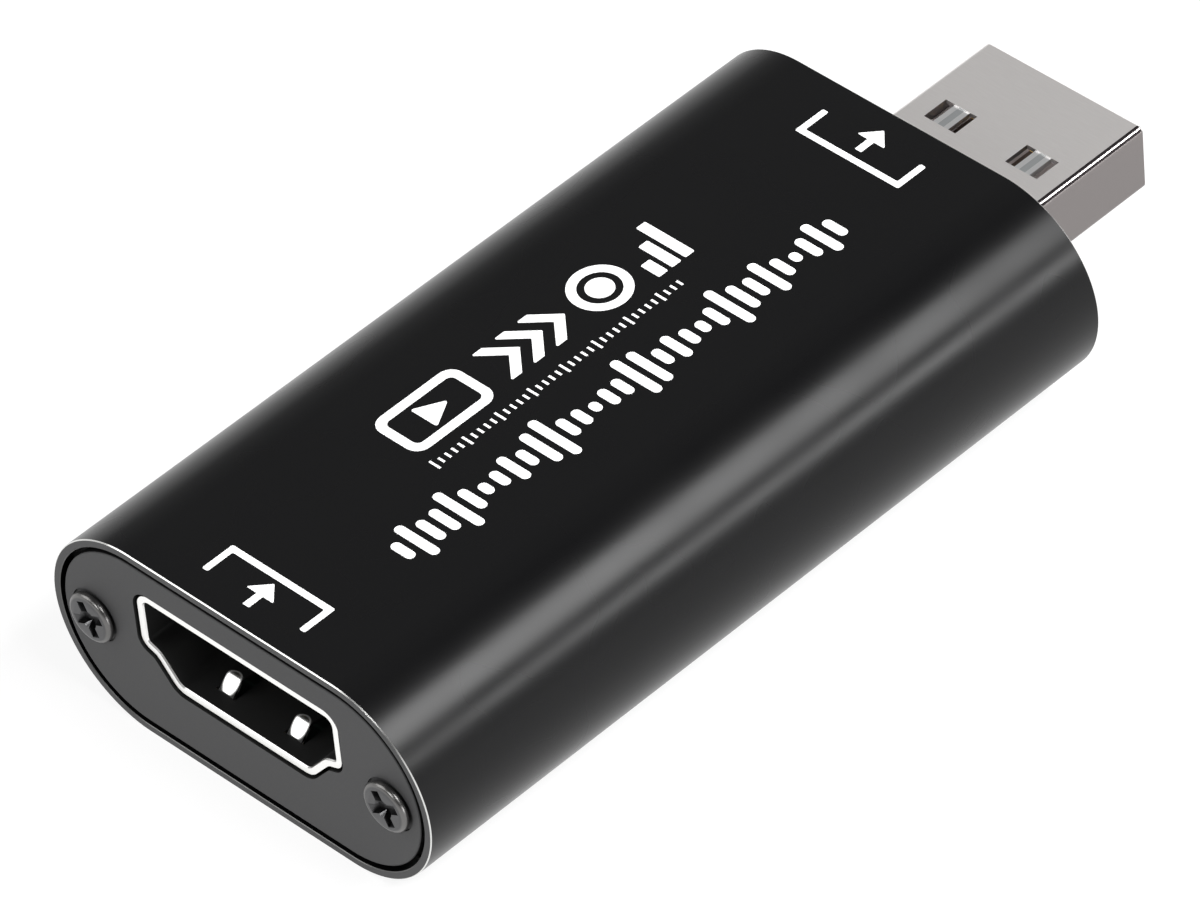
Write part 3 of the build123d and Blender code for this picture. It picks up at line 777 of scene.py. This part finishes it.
# Mouldings: nylon with glass fibre, which leaves a faintly mottled, matte skin. The
# socket's is black and sinks into its dark mouth. The plug's is a pale warm grey, seen
# through the windows. The mottle is as coarse as the fibres are long, 0.25 mm.
fibre_length = 0.25 * mm
for node, name, tones in (
    ("socket_insulator", "socket_nylon", ("#050505", "#0C0C0C")),
    ("plug_insulator", "plug_nylon", ("#CFC7C8", "#DAD2D3")),
):
    dress(grained(name, tones, 0.55, fibre_length)[0], node)

# Contacts: phosphor bronze strips, stamped and bent. The socket's are gold flashed all over and
# glint yellow. The plug's are only gold where they rub, at their front ends, and the rest is
# bare bronze, drawn a dark dull brown as painted shade where it lies under the plug's windows.
# Lines 0.01 mm apart are drawn at 0.05 mm to show.
strip_line = 0.05 * mm
gold_length = 3.7 * mm
gold = ("#D9B25C", "#EBCB7E")
gilt = cut_metal("gold_flashed_bronze", gold, 0.25, strip_line, streak_along)[0]
dress(gilt, "socket_upper_contacts", "socket_lower_contacts")
spot_gilt, tree, shader, place = cut_metal(
    "spot_gilt_bronze", gold, 0.25, strip_line, streak_along
)
plug_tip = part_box("plug_shell")[1].y
contact_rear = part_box("plug_power_contacts")[0].y
# Painted shade: behind the gold, the contacts are darkened to a dull brown, as dark as the
# shade under the windows.
bare_and_shaded = within(tree, place, "Y", contact_rear - margin, plug_tip - gold_length)
cover(tree, shader, bare_and_shaded, "#5A4E48", 1, 0.5)
dress(spot_gilt, "plug_power_contacts", "plug_data_contacts")

# Output plug: steel sheet folded into a sleeve, nickel plated to a satin finish. The flats are
# pale, and the sides are painted greyer as shade. Each window has a strip pressed down in it.
plug_sheet, plug_gap = 0.3 * mm, 0.03 * mm
plug_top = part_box("plug_insulator")[1].z + plug_gap + plug_sheet
strip_place, strip_half, strip_core = 3.1 * mm, 0.575 * mm, 0.22 * mm
strip_depth, strip_foot = 0.08 * mm, 0.5 * mm
window_near, window_far = 7.2 * mm, 5.2 * mm
side_facing, full_facing = 0.86, 1.1
streak_across = (0.05, 1, 1)

# Satin nickel is pale and soft, without a clear reflection. Its lines run from side to
# side, 0.02 mm apart, too fine to show, and are drawn at 0.06 mm.
satin_line = 0.06 * mm
satin_nickel, tree, shader, place = cut_metal(
    "satin_nickel_sheet", ("#F4F0EE", "#FFFCFA"), 0.46, satin_line, streak_across
)
normal = add_node(tree, "ShaderNodeTexCoord").outputs["Normal"]
# Painted shade: faces that look to either side take a greyer colour than the flats.
sides = within(tree, normal, "X", side_facing, full_facing, about=0)
cover(tree, shader, sides, "#847F7E", 1, 0.4)

# On the fold on the right, a grey band and a darker one are painted as shade, by how far it has
# turned, and leave a pale band between them for the highlight.
for near, far, painted_fold_shade in ((0.1, 0.48, "#3E393B"), (0.63, side_facing, "#1F1C1D")):
    cover(tree, shader, within(tree, normal, "X", near, far), painted_fold_shade, 1, 0.4)

# Each strip in a window is bright, and its core is painted slightly greyer, as shade along the
# middle of the strip.
strip = combine(
    tree,
    "MINIMUM",
    within(tree, place, "X", strip_place - strip_half, strip_place + strip_half, about=0),
    within(tree, place, "Y", plug_tip - window_near, plug_tip - window_far),
    within(tree, place, "Z", plug_top - strip_foot, plug_top - strip_depth),
)
cover(tree, shader, strip, "#F2F2F2", 1, 0.4)
# Painted shade: a greyer band down the middle of each strip.
core = within(tree, place, "X", strip_place - strip_core, strip_place + strip_core, about=0)
cover(tree, shader, combine(tree, "MINIMUM", strip, core), "#CDD0D1", 1, 0.4)
dress(satin_nickel, "plug_shell")

# Circuit board: 1.6 mm glass fibre laminate under black lacquer, with its sawn edges
# bare and straw coloured. The lacquer is glossy and nearly black, with a faint net of
# copper tracks under it. Tracks 0.2 mm apart are too fine to show and are drawn at 0.8.
track_pitch = 0.8 * mm
track_width = 0.1 * mm
board, tree, shader, place = start_material(
    "lacquered_laminate", {"Roughness": 0.35, "IOR": 1.5, "Specular IOR Level": 0.4}
)
net = add_node(
    tree,
    "ShaderNodeTexBrick",
    {
        "Color1": linear("#0B100E"),
        "Color2": linear("#0D1311"),
        "Mortar": linear("#1B2521"),
        "Scale": 1,
        "Mortar Size": track_width,
        "Brick Width": 4 * track_pitch,
        "Row Height": track_pitch,
    },
    {"Vector": place},
)
tree.links.new(shader.inputs["Base Color"], net.outputs["Color"])
normal = add_node(tree, "ShaderNodeTexCoord").outputs["Normal"]
edge_facing = 0.5
sawn_edges = within(tree, normal, "Z", -edge_facing, edge_facing)
cover(tree, shader, sawn_edges, "#6B6248", 0, 0.7)
dress(board, "circuit_board")

# Chips: black epoxy moulded round their leads, which are plated with matte tin. The
# leads or pads stand out at the ends of each package. Grains of silica in the epoxy,
# 0.03 mm wide, dull its black. They are too fine to show and are drawn at 0.12 mm.
tin = "#C6C6C3"
silica = 0.12 * mm
pad_proud = 0.01 * mm
memory_lead = 1.04 * mm
regulator_lead = 0.59 * mm


def near_ends(tree, place, node, axis, depth):
    """A mask of what lies within a depth of either end of a node along an axis."""
    low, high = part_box(node)
    number = "XYZ".index(axis)
    middle, half = (low[number] + high[number]) / 2, (high[number] - low[number]) / 2
    return within(tree, place, axis, half - depth, half + depth, about=middle)


for node, depths in (
    ("capture_chip", {"X": pad_proud, "Y": pad_proud}),
    ("surge_arrays", {"Y": pad_proud}),
    ("memory_chip", {"X": memory_lead}),
    ("core_regulator", {"Y": regulator_lead}),
    ("io_regulator", {"Y": regulator_lead}),
):
    epoxy, tree, shader, place = grained(f"{node}_epoxy", ("#141416", "#222224"), 0.5, silica)
    leads = [near_ends(tree, place, node, axis, depth) for axis, depth in depths.items()]
    cover(tree, shader, combine(tree, "MAXIMUM", *leads), tin, 1, 0.4)
    dress(epoxy, node)

# Crystal: a lid of stamped steel seamed on a base of dark ceramic. The lid shines softly
# in a warm grey. Its rolling lines, 0.01 mm apart, are too fine to show and are drawn at
# 0.08 mm.
lid_line = 0.08 * mm
base_height = 0.5 * mm
lid, tree, shader, place = cut_metal(
    "stamped_lid_steel", ("#B9B6AF", "#CFCCC5"), 0.35, lid_line, streak_along
)
crystal_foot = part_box("crystal")[0].z
base = within(tree, place, "Z", crystal_foot - margin, crystal_foot + base_height - margin)
cover(tree, shader, base, "#3B3A3C", 0, 0.6)
dress(lid, "crystal")

# Capacitors, resistors and the supply's bead: fired ceramic blocks with tinned caps.
# The capacitors are tan, the resistors lacquered black, and the bead is dark ferrite,
# all matte. Their powder, 0.002 mm, is too fine to show and is drawn at 0.1 mm.
cap_proud = 0.015 * mm
powder = 0.1 * mm
end_facing = 0.9
for node, name, tones, roughness, long_axis, sides in (
    ("bulk_capacitors", "bulk_titanate_ceramic", ("#A68A68", "#B89C7A"), 0.5, "X", "Y"),
    ("decoupling_capacitors", "small_titanate_ceramic", ("#9C7F5C", "#AE906D"), 0.5, "Y", None),
    ("supply_filter_bead", "pressed_ferrite", ("#3A393B", "#4A494B"), 0.6, "X", "Y"),
    ("resistors", "lacquered_alumina", ("#121213", "#1C1C1D"), 0.4, "Y", None),
):
    ceramic, tree, shader, place = grained(name, tones, roughness, powder)
    normal = add_node(tree, "ShaderNodeTexCoord").outputs["Normal"]
    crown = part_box(node)[1].z
    caps = [
        within(tree, place, "Z", crown - cap_proud, crown + cap_proud),
        within(tree, normal, long_axis, end_facing, full_facing, about=0),
    ]
    if sides:
        caps.append(near_ends(tree, place, node, sides, cap_proud))
    cover(tree, shader, combine(tree, "MAXIMUM", *caps), tin, 1, 0.4)
    dress(ceramic, node)

# Floor: a round white sheet that the box lies on. Far out it curves up to a low rim,
# so that a level view has a pale ground behind the box too.
floor_radius, rim_radius, rim_height, rim_steps = 2.2, 0.8, 0.7, 6
rings = [circle(floor_radius, 0)]
for step in range(1, rim_steps + 1):
    turn = math.pi / 2 * step / rim_steps
    radius, height = rim_radius * math.sin(turn), rim_height * (1 - math.cos(turn))
    rings.append(circle(floor_radius + radius, height))
vertices, faces = sweep(rings[::-1], closed=False)
disc_start = len(vertices) - turn_steps
faces.append(tuple(range(disc_start, len(vertices))))

# The sheet is drawn grey, and glows where it is seen straight or in a reflection. It
# then looks white, keeps the box's shadow, and throws little light back at the box.
paper_glow = 0.84
paper, tree, shader, _ = start_material(
    "white_paper", {"Base Color": linear("#7C7C7C"), "Roughness": 0.9, "Specular IOR Level": 0}
)
path = add_node(tree, "ShaderNodeLightPath").outputs
seen = combine(
    tree, "MAXIMUM", path["Is Camera Ray"], path["Is Glossy Ray"], path["Is Transmission Ray"]
)
glow = add_node(tree, "ShaderNodeMath", {"operation": "MULTIPLY", 1: paper_glow}, {0: seen})
tree.links.new(shader.inputs["Emission Strength"], glow.outputs[0])
shader.inputs["Emission Color"].default_value = linear("#FFFFFF")
floor = build("floor", vertices, faces, [paper])

# Light: a dim room with two long soft strips to the right of the box, and soft boxes
# at its front, right and left. A wide, weak panel behind it lifts the flat top.
world = bpy.data.worlds.new("dim_studio")
bpy.context.scene.world = world
world.use_nodes = True
room = world.node_tree.nodes["Background"].inputs
room["Color"].default_value = linear("#FFFFFF")
room["Strength"].default_value = 0.12


def soft_box(name, direction, distance, width, length, radiance, slide=0):
    """A rectangular lamp of an even radiance, its length near Y and slid along it."""
    lamp = bpy.data.lights.new(name, "AREA")
    lamp.shape = "RECTANGLE"
    lamp.size, lamp.size_y = width, length
    lamp.energy = radiance * math.pi * width * length
    holder = bpy.data.objects.new(name, lamp)
    aim = Vector(direction).normalized()
    short = Vector((0, 1, 0)).cross(aim).normalized()
    axes = Matrix((short, aim.cross(short), aim)).transposed()
    place = tube_middle + aim * distance + Vector((0, slide, 0))
    holder.matrix_world = Matrix.Translation(place) @ axes.to_4x4()
    bpy.context.scene.collection.objects.link(holder)


soft_box("upper_strip", (0.52, 0.495, 0.7), 0.45, 0.15, 0.35, 13.5, -0.15)
soft_box("lower_strip", (0.80, 0.495, 0.33), 0.45, 0.06, 0.35, 15.5, 0.13)
soft_box("front_box", (0.1, -0.75, 0.65), 0.5, 0.12, 0.12, 12.0)
soft_box("side_box", (0.99, -0.12, 0.08), 0.45, 0.12, 0.12, 9.0)
soft_box("key_box", (-0.7, -0.6, 0.67), 0.6, 0.4, 0.4, 2.6)
soft_box("rear_panel", (-0.549, 0.495, 0.674), 0.5, 0.5, 0.5, 0.22)

# Camera: a long lens from above and to the right of the socket's end. It looks past
# the middle of the tube by a little, and is rolled slightly.
turn, tilt, roll = math.radians(47.961), math.radians(42.364), math.radians(-5.665)
back = Vector(
    (math.sin(turn) * math.cos(tilt), -math.cos(turn) * math.cos(tilt), math.sin(tilt))
)
right = Vector((math.cos(turn), math.sin(turn), 0))
up = back.cross(right)
frame_right = math.cos(roll) * right + math.sin(roll) * up
frame_up = math.cos(roll) * up - math.sin(roll) * right
distance, aside, above = 516.27 * mm, 0.986 * mm, -0.462 * mm
eye = tube_middle + back * distance + frame_right * aside + frame_up * above
lens = bpy.data.cameras.new("camera")
lens.lens = 283.65
lens.sensor_width = 36
lens.sensor_fit = "HORIZONTAL"
lens.clip_start = 0.01
camera = bpy.data.objects.new("camera", lens)
axes = Matrix((frame_right, frame_up, back)).transposed()
camera.matrix_world = Matrix.Translation(eye) @ axes.to_4x4()
bpy.context.scene.collection.objects.link(camera)
bpy.context.scene.camera = camera
bpy.context.scene.view_settings.view_transform = "Standard"
